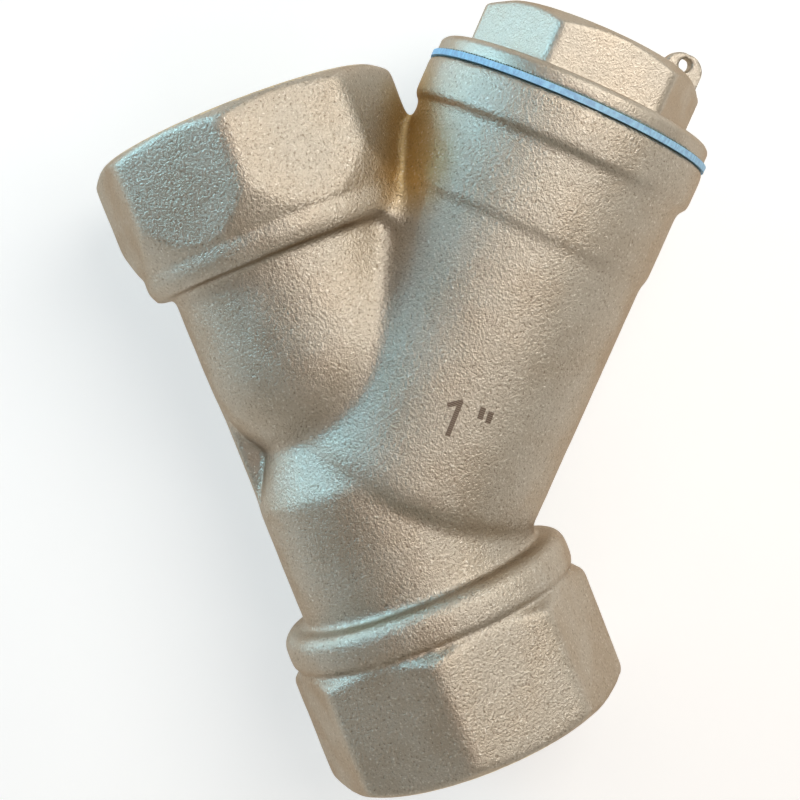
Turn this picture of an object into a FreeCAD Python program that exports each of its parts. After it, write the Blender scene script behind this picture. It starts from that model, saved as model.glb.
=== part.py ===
import FreeCAD, Part
import math
import os
import Sketcher

# A one inch Y-pattern strainer in forged brass, in millimetres.
# The pipe runs along +X from the inlet face at the origin to the outlet face.
# The branch leaves the pipe's axis towards +X and -Y, and +Z is up.

SIZES = [
    ("face_to_face", 90.0, "inlet face to outlet face"),
    ("crossing", 33.2, "inlet face to the point where the two axes cross"),
    ("branch_angle", 45.0, "degrees between the branch and the pipe"),
    ("octagon_flats", 40.0, "spanner size of both ends"),
    ("port_wall", 3.38, "wall between the flats and the pipe thread"),
    ("port_radius", "=octagon_flats / 2 - port_wall", "wall of the G 1 thread, 16.62"),
    ("inlet_thread", 16.0, "depth of the inlet thread"),
    ("outlet_thread", 15.0, "depth of the outlet thread"),
    ("octagon_rounding", 3.0, "rounding of the eight corners"),
    ("nose_drop", 1.0, "how far the end chamfer takes the end face below the flats"),
    ("octagon_nose", "=octagon_flats / 2 - nose_drop", "radius of the end face, 19"),
    ("chamfer_angle", 30.0, "degrees of the end chamfers, from the end face"),
    ("back_angle", 72.0, "degrees of the long chamfer behind the outlet flats"),
    ("inlet_octagon", 17.2, "length of the inlet flats"),
    ("outlet_octagon", 15.2, "length of the outlet flats"),
    ("valley_width", 0.7, "gap between the flats and the bead behind them"),
    ("valley_depth", 0.8, "how far that gap lies below the flats"),
    ("inlet_bead", 5.0, "width of the bead behind the inlet flats"),
    ("inlet_bead_rise", 0.5, "how far that bead's crest stands above the flats"),
    ("inlet_bead_radius", "=octagon_flats / 2 + inlet_bead_rise", "crest of it, 20.5"),
    ("outlet_bead", 3.3, "width of the bead behind the outlet flats"),
    ("outlet_bead_drop", 0.2, "how far that bead's crest lies below the flats"),
    ("outlet_bead_radius", "=octagon_flats / 2 - outlet_bead_drop", "crest of it, 19.8"),
    ("bead_rounding", 2.0, "rounding of a bead's crest towards the tube"),
    ("bead_edge", 0.8, "rounding of the inlet bead's crest towards the flats"),
    ("bead_root", 1.0, "how deep a bead's ring is sunk into the tube"),
    ("tube_drop", 3.15, "how far both tubes lie below the flats"),
    ("tube_radius", "=octagon_flats / 2 - tube_drop", "outside of both tubes, 16.85"),
    ("shoulder_offset", 6.6, "crossing to the shoulder of the inlet tube"),
    ("bulb_offset", 24.8, "crossing to the centre of the outlet tube's round end"),
    ("neck_drop", 3.85, "how far the waist lies below the tubes"),
    ("neck_radius", "=tube_radius - neck_drop", "waist between shoulder and round end, 13"),
    ("web_thickness", 5.0, "parting web that fills the waist"),
    ("web_drop", 0.2, "how far that web's edge lies below the tubes"),
    ("web_edge", "=tube_radius - web_drop", "edge of the web from the pipe's axis, 16.65"),
    ("branch_rise", 1.45, "how far the branch stands above the tubes"),
    ("branch_radius", "=tube_radius + branch_rise", "outside of the branch, 18.3"),
    ("branch_end", 1.6, "crossing to the closed end, along the branch"),
    ("end_rounding", 5.0, "rounding of the closed end"),
    ("mouth_height", 58.0, "crossing to the mouth face"),
    ("flange_thickness", 5.6, "thickness of the mouth flange"),
    ("flange_height", "=mouth_height - flange_thickness", "crossing to its underside, 52.4"),
    ("flange_rise", 1.4, "how far the flange stands out from the branch"),
    ("flange_radius", "=branch_radius + flange_rise", "outside of the flange, 19.7"),
    ("flange_rounding", 0.45, "rounding of the flange and its root"),
    ("step_height", 41.4, "crossing to the small step in the branch"),
    ("collar_rise", 0.45, "how far the thicker branch stands out"),
    ("collar_radius", "=branch_radius + collar_rise", "outside of the thicker branch, 18.75"),
    ("blend", 2.2, "forging fillet between the branch and the pipe"),
    ("passage_wall", 4.35, "wall of both tubes"),
    ("passage_radius", "=tube_radius - passage_wall", "bore of both passages, 12.5"),
    ("inlet_turn", 3.0, "round end of the inlet passage, short of the crossing"),
    ("outlet_turn", 27.0, "round start of the outlet passage, past the crossing"),
    ("seat_ledge", 1.5, "how much narrower the screen's seat is than the passages"),
    ("seat_radius", "=passage_radius - seat_ledge", "hole under the screen, 11"),
    ("seat_height", 7.0, "crossing to the seat of the screen"),
    ("seat_drop", 13.0, "how far the seat's hole reaches back into the inlet"),
    ("locating_clearance", 0.2, "clearance round the screen's lower collar"),
    ("locating_depth", 2.0, "depth of the recess that centres the screen"),
    ("chamber_wall", 3.3, "wall of the branch"),
    ("chamber_radius", "=branch_radius - chamber_wall", "bore round the screen, 15"),
    ("cap_thread", 10.0, "depth of the cap's thread in the branch"),
    ("mouth_wall", 1.8, "wall of the branch behind that thread"),
    ("cap_bore", "=branch_radius - mouth_wall", "wall of the M33 x 1.5 thread, 16.5"),
    ("gasket_thickness", 0.8, "cap gasket, pressed"),
    ("gasket_clearance", 0.2, "how much wider the gasket's hole is than the thread"),
    ("gasket_inner", "=cap_bore + gasket_clearance", "inside of the gasket, 16.7"),
    ("cap_inset", 0.5, "how much narrower the cap's flange is than the branch's"),
    ("cap_flange_radius", "=flange_radius - cap_inset", "outside of the cap's flange, 19.2"),
    ("cap_flange_thickness", 2.3, "thickness of the cap's flange"),
    ("cap_bevel", 0.6, "bevel of the cap's flange"),
    ("thread_depth", 0.9, "depth of the cap's thread"),
    ("shank_radius", "=cap_bore - thread_depth", "core of the cap's thread, 15.6"),
    ("shank_shortfall", 1.0, "how far the cap's thread stops short of the branch's"),
    ("shank_length", "=cap_thread - shank_shortfall", "cap's thread below the mouth, 9"),
    ("recess_clearance", 0.5, "clearance round the screen's upper collar"),
    ("recess_gap", 0.3, "end play over the screen's upper collar"),
    ("hex_inset", 5.3, "cap's flange beyond the hexagon's flats"),
    ("hex_flats", "=2 * (cap_flange_radius - hex_inset)", "spanner size of the cap, 27.8"),
    ("hex_height", 7.4, "height of the hexagon above the cap's flange"),
    ("hex_rounding", 1.8, "rounding of the hexagon's corners"),
    ("hex_nose_drop", 0.9, "how far the top chamfer takes the top face inside the flats"),
    ("hex_nose", "=hex_flats / 2 - hex_nose_drop", "radius of the top face, 13"),
    ("hex_turn", 39.6, "degrees from straight up to the first corner"),
    ("ear_inset", 2.1, "hexagon's flats to the middle of the sealing ear"),
    ("ear_radius", "=hex_flats / 2 - ear_inset", "branch axis to the ear's middle, 11.8"),
    ("ear_width", 5.4, "width of the sealing ear"),
    ("ear_height", 3.5, "height of the sealing ear above the hexagon"),
    ("ear_thickness", 2.4, "thickness of the sealing ear"),
    ("ear_rounding", 2.2, "rounding of the ear's two top corners"),
    ("ear_root", 1.0, "how deep the ear's root reaches into the hexagon"),
    ("ear_hole", 0.9, "radius of the sealing wire's hole"),
    ("ear_hole_height", 2.0, "height of that hole above the hexagon"),
    ("screen_room", 1.3, "room between the screen and the chamber's wall"),
    ("collar_outer", "=chamber_radius - screen_room", "outside of the screen's collars, 13.7"),
    ("collar_wall", 0.4, "sheet thickness of the collars"),
    ("collar_height", 3.0, "height of a collar"),
    ("screen_drop", 2.5, "mouth face to the top of the screen"),
    ("screen_length", "=mouth_height - seat_height - screen_drop", "screen and collars, 48.5"),
    ("screen_play", 0.05, "clearance between the sheets of the screen"),
    ("tube_wall", 0.5, "sheet thickness of the perforated tube"),
    ("mesh_wall", 0.3, "thickness of the woven mesh"),
    ("hole_side", 3.4, "side of one square perforation"),
    ("hole_count", 10, "perforations in one row"),
    ("hole_rows", 4, "rows of each of the two staggered sets"),
    ("hole_margin", 6.9, "length of the screen that the rows leave free"),
    ("hole_pitch", "=(screen_length - hole_margin) / (2 * hole_rows)", "between rows, 5.2"),
]

INLET_FLATS_BACK = "Sizes.inlet_octagon - Sizes.valley_width"
INLET_BEAD_NEAR = "Sizes.inlet_octagon + Sizes.valley_width"
INLET_BEAD_FAR = INLET_BEAD_NEAR + " + Sizes.inlet_bead"
OUTLET_BEAD_FAR = "Sizes.face_to_face - Sizes.outlet_octagon - Sizes.valley_width"
OUTLET_BEAD_NEAR = OUTLET_BEAD_FAR + " - Sizes.outlet_bead"

CAP_UNDER = "Sizes.mouth_height + Sizes.gasket_thickness"
CAP_SHOULDER = CAP_UNDER + " + Sizes.cap_flange_thickness"
HEX_TOP = CAP_SHOULDER + " + Sizes.hex_height"
EAR_HOLE = HEX_TOP + " + Sizes.ear_hole_height"
SCREEN_TOP = "Sizes.seat_height + Sizes.screen_length"
RECESS_TOP = SCREEN_TOP + " + Sizes.recess_gap"
SHEET_BOTTOM = "Sizes.seat_height + Sizes.collar_wall + Sizes.screen_play"
SHEET_TOP = SCREEN_TOP + " - Sizes.collar_wall - Sizes.screen_play"
TUBE_OUTER = "Sizes.collar_outer - Sizes.collar_wall - Sizes.screen_play"
TUBE_INNER = TUBE_OUTER + " - Sizes.tube_wall"
MESH_OUTER = TUBE_INNER + " - Sizes.screen_play"
MESH_INNER = MESH_OUTER + " - Sizes.mesh_wall"

doc = FreeCAD.newDocument("strainer")
sheet = doc.addObject("Spreadsheet::Sheet", "Sizes")


def fill_sheet():
    """Write each size with its alias and its meaning."""
    for row, (alias, value, meaning) in enumerate(SIZES, start=1):
        sheet.set(f"A{row}", meaning)
        sheet.set(f"B{row}", str(value))
        sheet.setAlias(f"B{row}", alias)
    doc.recompute()


def size(expression):
    """Work out an expression of the sheet's sizes as a plain number."""
    value = sheet.evalExpression(expression)
    return float(getattr(value, "Value", value))


def new_body(label):
    body = doc.addObject("PartDesign::Body", label)
    body.Label = label
    return body


def place_on_branch(body):
    """Turn a piece made along its own +Z so that it stands along the branch."""
    body.setExpression(
        "Placement",
        "placement(vector(Sizes.crossing; 0; 0); rotation(-Sizes.branch_angle; -90; 180))",
    )


def new_sketch(body, role, name):
    plane = [item for item in body.Origin.OriginFeatures if item.Role == role][0]
    sketch = body.newObject("Sketcher::SketchObject", name)
    sketch.AttachmentSupport = (plane, [""])
    sketch.MapMode = "FlatFace"
    return sketch


def tie(sketch, geometry, point, across, along):
    """Hold one point of a sketch at two expressions of the sheet."""
    for kind, axis, expression in (("DistanceX", -2, across), ("DistanceY", -1, along)):
        value = size(expression)
        if abs(value) < 1e-9:
            sketch.addConstraint(Sketcher.Constraint("PointOnObject", geometry, point, axis))
            continue
        index = sketch.addConstraint(
            Sketcher.Constraint(kind, -1, 1, geometry, point, value))
        sketch.setExpression(f"Constraints[{index}]", expression)


def draw_outline(sketch, corners, domes=(), upright=(), level=()):
    """Draw a closed outline through corners given as pairs of expressions.

    The runs numbered in domes are round about a centre on the sketch's horizontal axis.
    Those in upright are quarter circles that start upright, and those in level start level.
    """
    points = [FreeCAD.Vector(size(x), size(y), 0) for x, y in corners]
    ends = []
    for run, start in enumerate(points):
        finish = points[(run + 1) % len(points)]
        if run in domes:
            middle_x = (finish.Length ** 2 - start.Length ** 2) / (2 * (finish.x - start.x))
            curve = arc_about(FreeCAD.Vector(middle_x, 0, 0), start, finish)
        elif run in upright:
            curve = arc_about(FreeCAD.Vector(finish.x, start.y, 0), start, finish)
        elif run in level:
            curve = arc_about(FreeCAD.Vector(start.x, finish.y, 0), start, finish)
        else:
            curve = Part.LineSegment(start, finish)
        geometry = sketch.addGeometry(curve)
        forward = curve.StartPoint.distanceToPoint(start) < 1e-6
        first, last = (1, 2) if forward else (2, 1)
        ends.append((geometry, first, last))
        if run in domes:
            sketch.addConstraint(Sketcher.Constraint("PointOnObject", geometry, 3, -1))
        elif run in upright:
            sketch.addConstraint(Sketcher.Constraint("Vertical", geometry, 3, geometry, last))
        elif run in level:
            sketch.addConstraint(Sketcher.Constraint("Vertical", geometry, 3, geometry, first))
    for run, (geometry, _, last) in enumerate(ends):
        following, first, _ = ends[(run + 1) % len(ends)]
        sketch.addConstraint(Sketcher.Constraint("Coincident", geometry, last, following, first))
    for (geometry, first, _), (x, y) in zip(ends, corners):
        tie(sketch, geometry, first, x, y)
    return sketch


def arc_about(centre, start, finish):
    """Make the shorter arc between two points about their centre."""
    circle = Part.Circle(centre, FreeCAD.Vector(0, 0, 1), start.distanceToPoint(centre))
    low, high = sorted(math.atan2(p.y - centre.y, p.x - centre.x) for p in (start, finish))
    if high - low > math.pi:
        low, high = high, low + 2 * math.pi
    return Part.ArcOfCircle(circle, low, high)


def draw_polygon(sketch, sides, across_flats):
    """Draw a regular polygon about the origin with its first corner on the horizontal axis."""
    radius = f"{across_flats} / 2 / cos({180 / sides} deg)"
    circle = sketch.addGeometry(
        Part.Circle(FreeCAD.Vector(0, 0, 0), FreeCAD.Vector(0, 0, 1), size(radius)), True)
    sketch.addConstraint(Sketcher.Constraint("Coincident", circle, 3, -1, 1))
    index = sketch.addConstraint(Sketcher.Constraint("Radius", circle, size(radius)))
    sketch.setExpression(f"Constraints[{index}]", radius)
    corners = []
    for corner in range(sides):
        turn = 2 * math.pi * corner / sides
        corners.append(FreeCAD.Vector(math.cos(turn), math.sin(turn), 0) * size(radius))
    lines = []
    for corner, start in enumerate(corners):
        lines.append(sketch.addGeometry(Part.LineSegment(start, corners[(corner + 1) % sides])))
    for corner, line in enumerate(lines):
        following = lines[(corner + 1) % sides]
        sketch.addConstraint(Sketcher.Constraint("Coincident", line, 2, following, 1))
        sketch.addConstraint(Sketcher.Constraint("PointOnObject", line, 1, circle))
        if corner:
            sketch.addConstraint(Sketcher.Constraint("Equal", lines[0], line))
    sketch.addConstraint(Sketcher.Constraint("PointOnObject", lines[0], 1, -1))
    return sketch


def revolve(body, sketch, kind, name, axis):
    """Turn a sketch a full circle about its own axis, adding or cutting."""
    feature = body.newObject("PartDesign::" + kind, name)
    feature.Profile = sketch
    feature.ReferenceAxis = (sketch, [axis])
    feature.Angle = 360.0
    doc.recompute()
    return feature


def pad(body, sketch, name, length, both_ways=False):
    feature = body.newObject("PartDesign::Pad", name)
    feature.Profile = sketch
    feature.setExpression("Length", length)
    feature.Midplane = both_ways
    doc.recompute()
    return feature


def round_edges(body, name, radius, wanted):
    """Round the edges of the body so far for which wanted(edge) holds."""
    base = body.Tip
    names = [f"Edge{number}" for number, edge in enumerate(base.Shape.Edges, start=1)
             if wanted(edge)]
    if not names:
        raise RuntimeError(f"{name}: no edge found")
    feature = body.newObject("PartDesign::Fillet", name)
    feature.Base = (base, names)
    feature.setExpression("Radius", radius)
    doc.recompute()
    if feature.Shape.isNull():
        raise RuntimeError(f"{name}: the edges can't be rounded")
    return feature


def round_hoops(body, name, radius, places):
    """Round the circles found at pairs of distance along the branch and radius."""
    targets = [(along_branch(size(along)), size(across)) for along, across in places]

    def wanted(edge):
        if edge.Curve.TypeId != "Part::GeomCircle":
            return False
        curve = edge.Curve
        return any(curve.Center.distanceToPoint(centre) < 0.01
                   and abs(curve.Radius - across) < 0.01 for centre, across in targets)

    return round_edges(body, name, radius, wanted)


def along_branch(distance):
    turn = math.radians(size("Sizes.branch_angle"))
    return FreeCAD.Vector(size("Sizes.crossing") + distance * math.cos(turn),
                          -distance * math.sin(turn), 0)


def branch_sketch(body, name):
    """Make a sketch in the plane of both axes whose horizontal axis is the branch's."""
    sketch = new_sketch(body, "XY_Plane", name)
    sketch.AttachmentOffset = FreeCAD.Placement(
        FreeCAD.Vector(0, 0, 0), FreeCAD.Rotation(FreeCAD.Vector(0, 0, -1), 1))
    sketch.setExpression("AttachmentOffset.Base.x", "Sizes.crossing")
    sketch.setExpression("AttachmentOffset.Rotation.Angle", "Sizes.branch_angle * 1 deg")
    return sketch


def make_core(body):
    """Turn the pipe's outside without its flats and beads: both ends, tubes and waist."""
    valley = "Sizes.octagon_flats / 2 - Sizes.valley_depth"
    bulb = "Sizes.crossing + Sizes.bulb_offset"
    neck = bulb + " - sqrt(Sizes.tube_radius ^ 2 - Sizes.neck_radius ^ 2)"
    shoulder = "Sizes.crossing + Sizes.shoulder_offset"
    corners = [
        ("Sizes.valley_width", "0"),
        ("Sizes.valley_width", "Sizes.octagon_nose"),
        (INLET_FLATS_BACK, "Sizes.octagon_nose"),
        (INLET_FLATS_BACK, valley),
        (INLET_BEAD_NEAR, valley),
        (INLET_BEAD_NEAR, "Sizes.tube_radius"),
        (shoulder, "Sizes.tube_radius"),
        (neck, "Sizes.neck_radius"),
        (bulb, "Sizes.tube_radius"),
        (OUTLET_BEAD_NEAR, "Sizes.tube_radius"),
        (OUTLET_BEAD_NEAR, valley),
        ("Sizes.face_to_face - Sizes.valley_width", valley),
        ("Sizes.face_to_face - Sizes.valley_width", "0"),
    ]
    sketch = draw_outline(new_sketch(body, "XY_Plane", "core_outline"), corners, domes=(7,))
    revolve(body, sketch, "Revolution", "core", "H_Axis")


def make_beads(body):
    """Add the rounded beads behind both sets of flats."""
    root = "Sizes.tube_radius - Sizes.bead_root"
    crest = "Sizes.inlet_bead_radius"
    inlet = [
        (INLET_BEAD_NEAR, root),
        (INLET_BEAD_NEAR, f"{crest} - Sizes.bead_edge"),
        (f"{INLET_BEAD_NEAR} + Sizes.bead_edge", crest),
        (f"{INLET_BEAD_FAR} - Sizes.bead_rounding", crest),
        (INLET_BEAD_FAR, f"{crest} - Sizes.bead_rounding"),
        (INLET_BEAD_FAR, root),
    ]
    sketch = new_sketch(body, "XY_Plane", "inlet_bead_outline")
    draw_outline(sketch, inlet, upright=(1,), level=(3,))
    revolve(body, sketch, "Revolution", "inlet_bead", "H_Axis")
    crest = "Sizes.outlet_bead_radius"
    outlet = [
        (OUTLET_BEAD_NEAR, root),
        (OUTLET_BEAD_NEAR, f"{crest} - Sizes.bead_rounding"),
        (f"{OUTLET_BEAD_NEAR} + Sizes.bead_rounding", crest),
        (OUTLET_BEAD_FAR, crest),
        (OUTLET_BEAD_FAR, root),
    ]
    sketch = new_sketch(body, "XY_Plane", "outlet_bead_outline")
    draw_outline(sketch, outlet, upright=(1,))
    revolve(body, sketch, "Revolution", "outlet_bead", "H_Axis")


def make_flats(label, start, length, nose, back):
    """Make one end's eight spanner flats, with rounded corners and turned chamfers.

    nose and back are outlines of what the two chamfers cut away, about the pipe's axis.
    """
    flats = new_body(label)
    sketch = new_sketch(flats, "YZ_Plane", label + "_outline")
    sketch.setExpression("AttachmentOffset.Base.z", start)
    pad(flats, draw_polygon(sketch, 8, "Sizes.octagon_flats"), label + "_pad", length)
    corner = size("Sizes.octagon_flats / 2 / cos(22.5 deg)")

    def is_corner(edge):
        middle = edge.CenterOfMass
        straight = edge.Curve.TypeId == "Part::GeomLine"
        return straight and abs(math.hypot(middle.y, middle.z) - corner) < 0.05

    round_edges(flats, label + "_corners", "Sizes.octagon_rounding", is_corner)
    for name, corners in (("nose", nose), ("back", back)):
        cut = draw_outline(new_sketch(flats, "XY_Plane", f"{label}_{name}_outline"), corners)
        revolve(flats, cut, "Groove", f"{label}_{name}", "H_Axis")
    return flats


def add_flats(body):
    """Join the spanner flats of both ends to the body."""
    reach = "Sizes.octagon_flats * 0.6"
    rise = f"({reach} - Sizes.octagon_nose) * tan(Sizes.chamfer_angle * 1 deg)"
    half = "Sizes.octagon_flats / 2"
    tail = f"({reach} - {half}) * tan(Sizes.back_angle * 1 deg)"
    far = "Sizes.face_to_face"
    inlet = make_flats(
        "inlet_flats", "0", "Sizes.inlet_octagon",
        [("0", "Sizes.octagon_nose"), (rise, reach), ("0", reach)],
        [("Sizes.inlet_octagon", half), ("Sizes.inlet_octagon", reach),
         (f"Sizes.inlet_octagon - {rise}", reach)])
    outlet_start = "Sizes.face_to_face - Sizes.outlet_octagon"
    outlet = make_flats(
        "outlet_flats", outlet_start, "Sizes.outlet_octagon",
        [(far, "Sizes.octagon_nose"), (far, reach), (f"{far} - {rise}", reach)],
        [(outlet_start, half), (f"{outlet_start} + {tail}", reach), (outlet_start, reach)])
    join = body.newObject("PartDesign::Boolean", "flats")
    join.setObjects([inlet, outlet])
    join.Type = "Fuse"
    doc.recompute()


def make_branch(body):
    """Add the plain branch with its round closed end."""
    corners = [
        ("Sizes.branch_end", "0"),
        ("Sizes.branch_end", "Sizes.branch_radius - Sizes.end_rounding"),
        ("Sizes.branch_end + Sizes.end_rounding", "Sizes.branch_radius"),
        ("Sizes.mouth_height", "Sizes.branch_radius"),
        ("Sizes.mouth_height", "0"),
    ]
    sketch = draw_outline(branch_sketch(body, "branch_outline"), corners, upright=(1,))
    revolve(body, sketch, "Revolution", "branch", "H_Axis")


def make_collar(body):
    """Add the step round the upper branch and the flange at its mouth."""
    inside = "Sizes.branch_radius - Sizes.flange_rounding"
    step = "Sizes.collar_radius - Sizes.branch_radius"
    corners = [
        ("Sizes.step_height", inside),
        ("Sizes.step_height", "Sizes.branch_radius"),
        (f"Sizes.step_height + {step}", "Sizes.collar_radius"),
        ("Sizes.flange_height", "Sizes.collar_radius"),
        ("Sizes.flange_height", "Sizes.flange_radius"),
        ("Sizes.mouth_height", "Sizes.flange_radius"),
        ("Sizes.mouth_height", inside),
    ]
    sketch = draw_outline(branch_sketch(body, "collar_outline"), corners)
    revolve(body, sketch, "Revolution", "collar", "H_Axis")
    round_hoops(body, "flange_edges", "Sizes.flange_rounding",
                [("Sizes.flange_height", "Sizes.flange_radius"),
                 ("Sizes.flange_height", "Sizes.collar_radius"),
                 ("Sizes.mouth_height", "Sizes.flange_radius")])


def blend_branch(body):
    """Lay the forging's fillet where the branch meets the pipe."""
    direction = along_branch(1) - along_branch(0)
    shape = body.Tip.Shape

    def on_branch(face):
        axis = getattr(face.Surface, "Axis", None)
        return axis is not None and axis.cross(direction).Length < 1e-6

    def is_meeting(edge):
        faces = shape.ancestorsOfType(edge, Part.Face)
        return len({on_branch(face) for face in faces}) == 2

    round_edges(body, "branch_blend", "Sizes.blend", is_meeting)


def make_waist_web(body):
    """Fill the waist with the thin web left along the forging's parting plane."""
    start = "Sizes.crossing + Sizes.shoulder_offset"
    finish = "Sizes.crossing + Sizes.bulb_offset"
    sketch = draw_outline(new_sketch(body, "XY_Plane", "web_outline"), [
        (start, "Sizes.seat_radius"),
        (finish, "Sizes.seat_radius"),
        (finish, "Sizes.web_edge"),
        (start, "Sizes.web_edge"),
    ])
    pad(body, sketch, "waist_web", "Sizes.web_thickness", both_ways=True)


def make_passages(body):
    """Bore the ports, the passages, the screen's seat and chamber, and the cap's thread."""
    turn_in = "Sizes.crossing - Sizes.inlet_turn"
    inlet = [
        ("0", "0"),
        ("0", "Sizes.port_radius"),
        ("Sizes.inlet_thread", "Sizes.port_radius"),
        ("Sizes.inlet_thread", "Sizes.passage_radius"),
        (turn_in, "Sizes.passage_radius"),
        (turn_in + " + Sizes.passage_radius", "0"),
    ]
    far = "Sizes.face_to_face"
    turn_out = "Sizes.crossing + Sizes.outlet_turn"
    outlet = [
        (far, "0"),
        (far, "Sizes.port_radius"),
        (far + " - Sizes.outlet_thread", "Sizes.port_radius"),
        (far + " - Sizes.outlet_thread", "Sizes.passage_radius"),
        (turn_out, "Sizes.passage_radius"),
        (turn_out + " - Sizes.passage_radius", "0"),
    ]
    for name, corners in (("inlet_passage", inlet), ("outlet_passage", outlet)):
        sketch = draw_outline(new_sketch(body, "XZ_Plane", name + "_outline"), corners, domes=(4,))
        revolve(body, sketch, "Groove", name, "H_Axis")
    locating = "Sizes.collar_outer + Sizes.locating_clearance"
    chamber = [
        ("Sizes.seat_height - Sizes.seat_drop", "0"),
        ("Sizes.seat_height - Sizes.seat_drop", "Sizes.seat_radius"),
        ("Sizes.seat_height", "Sizes.seat_radius"),
        ("Sizes.seat_height", locating),
        ("Sizes.seat_height + Sizes.locating_depth", locating),
        ("Sizes.seat_height + Sizes.locating_depth", "Sizes.chamber_radius"),
        ("Sizes.mouth_height - Sizes.cap_thread", "Sizes.chamber_radius"),
        ("Sizes.mouth_height - Sizes.cap_thread", "Sizes.cap_bore"),
        ("Sizes.mouth_height", "Sizes.cap_bore"),
        ("Sizes.mouth_height", "0"),
    ]
    sketch = draw_outline(branch_sketch(body, "chamber_outline"), chamber)
    revolve(body, sketch, "Groove", "chamber", "H_Axis")


def make_strainer_body():
    body = new_body("strainer_body")
    make_core(body)
    make_branch(body)
    blend_branch(body)
    make_collar(body)
    make_beads(body)
    add_flats(body)
    make_waist_web(body)
    make_passages(body)
    return body


def make_cap(body):
    """Turn the cap's flange and threaded shank, then add its hexagon and sealing ear."""
    collar_room = "Sizes.collar_outer + Sizes.recess_clearance"
    shank_end = "Sizes.mouth_height - Sizes.shank_length"
    corners = [
        (collar_room, shank_end),
        ("Sizes.shank_radius", shank_end),
        ("Sizes.shank_radius", CAP_UNDER),
        ("Sizes.cap_flange_radius", CAP_UNDER),
        ("Sizes.cap_flange_radius", f"{CAP_SHOULDER} - Sizes.cap_bevel"),
        ("Sizes.cap_flange_radius - Sizes.cap_bevel", CAP_SHOULDER),
        ("0", CAP_SHOULDER),
        ("0", RECESS_TOP),
        (collar_room, RECESS_TOP),
    ]
    sketch = draw_outline(new_sketch(body, "XZ_Plane", "cap_outline"), corners)
    revolve(body, sketch, "Revolution", "cap_turning", "V_Axis")
    sketch = new_sketch(body, "XY_Plane", "hexagon_outline")
    sketch.AttachmentOffset = FreeCAD.Placement(
        FreeCAD.Vector(0, 0, 0), FreeCAD.Rotation(FreeCAD.Vector(0, 0, 1), 1))
    sketch.setExpression("AttachmentOffset.Base.z", CAP_SHOULDER)
    sketch.setExpression("AttachmentOffset.Rotation.Angle", "Sizes.hex_turn * 1 deg")
    pad(body, draw_polygon(sketch, 6, "Sizes.hex_flats"), "hexagon", "Sizes.hex_height")
    corner = size("Sizes.hex_flats / 2 / cos(30 deg)")

    def is_corner(edge):
        middle = edge.CenterOfMass
        straight = edge.Curve.TypeId == "Part::GeomLine"
        return straight and abs(math.hypot(middle.x, middle.y) - corner) < 0.05

    round_edges(body, "hexagon_corners", "Sizes.hex_rounding", is_corner)
    reach = "Sizes.hex_flats * 0.6"
    drop = f"({reach} - Sizes.hex_nose) * tan(Sizes.chamfer_angle * 1 deg)"
    cut = draw_outline(new_sketch(body, "XZ_Plane", "hexagon_nose_outline"), [
        ("Sizes.hex_nose", HEX_TOP), (reach, HEX_TOP), (reach, f"{HEX_TOP} - {drop}")])
    revolve(body, cut, "Groove", "hexagon_nose", "V_Axis")
    add_ear(body)


def ear_sketch(body, name):
    """Make a sketch in the plane through the branch's axis and the ear's corner."""
    sketch = new_sketch(body, "XZ_Plane", name)
    sketch.AttachmentOffset = FreeCAD.Placement(
        FreeCAD.Vector(0, 0, 0), FreeCAD.Rotation(FreeCAD.Vector(0, 1, 0), 1))
    sketch.setExpression("AttachmentOffset.Rotation.Angle", "(Sizes.hex_turn + 60) * 1 deg")
    return sketch


def add_ear(body):
    """Stand the drilled ear for the sealing wire over one corner of the hexagon."""
    near = "Sizes.ear_radius - Sizes.ear_width / 2"
    far = "Sizes.ear_radius + Sizes.ear_width / 2"
    root = f"{HEX_TOP} - Sizes.ear_root"
    shoulder = f"{HEX_TOP} + Sizes.ear_height - Sizes.ear_rounding"
    top = f"{HEX_TOP} + Sizes.ear_height"
    sketch = draw_outline(ear_sketch(body, "ear_outline"), [
        (near, root),
        (near, shoulder),
        (f"{near} + Sizes.ear_rounding", top),
        (f"{far} - Sizes.ear_rounding", top),
        (far, shoulder),
        (far, root),
    ], upright=(1,), level=(3,))
    pad(body, sketch, "ear", "Sizes.ear_thickness", both_ways=True)
    sketch = ear_sketch(body, "ear_hole_outline")
    circle = sketch.addGeometry(Part.Circle(
        FreeCAD.Vector(size("Sizes.ear_radius"), size(EAR_HOLE), 0),
        FreeCAD.Vector(0, 0, 1), size("Sizes.ear_hole")))
    tie(sketch, circle, 3, "Sizes.ear_radius", EAR_HOLE)
    index = sketch.addConstraint(
        Sketcher.Constraint("Radius", circle, size("Sizes.ear_hole")))
    sketch.setExpression(f"Constraints[{index}]", "Sizes.ear_hole")
    hole = body.newObject("PartDesign::Pocket", "ear_hole")
    hole.Profile = sketch
    hole.Midplane = True
    hole.setExpression("Length", "Sizes.ear_thickness * 2")
    doc.recompute()


def make_ring(body, inner, outer, bottom, top):
    """Turn a plain ring from its two radii and two heights."""
    sketch = draw_outline(new_sketch(body, "XZ_Plane", body.Name + "_outline"), [
        (inner, bottom), (outer, bottom), (outer, top), (inner, top)])
    revolve(body, sketch, "Revolution", body.Name + "_turning", "V_Axis")


def make_cap_gasket(body):
    make_ring(body, "Sizes.gasket_inner", "Sizes.flange_radius",
              "Sizes.mouth_height", CAP_UNDER)


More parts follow.
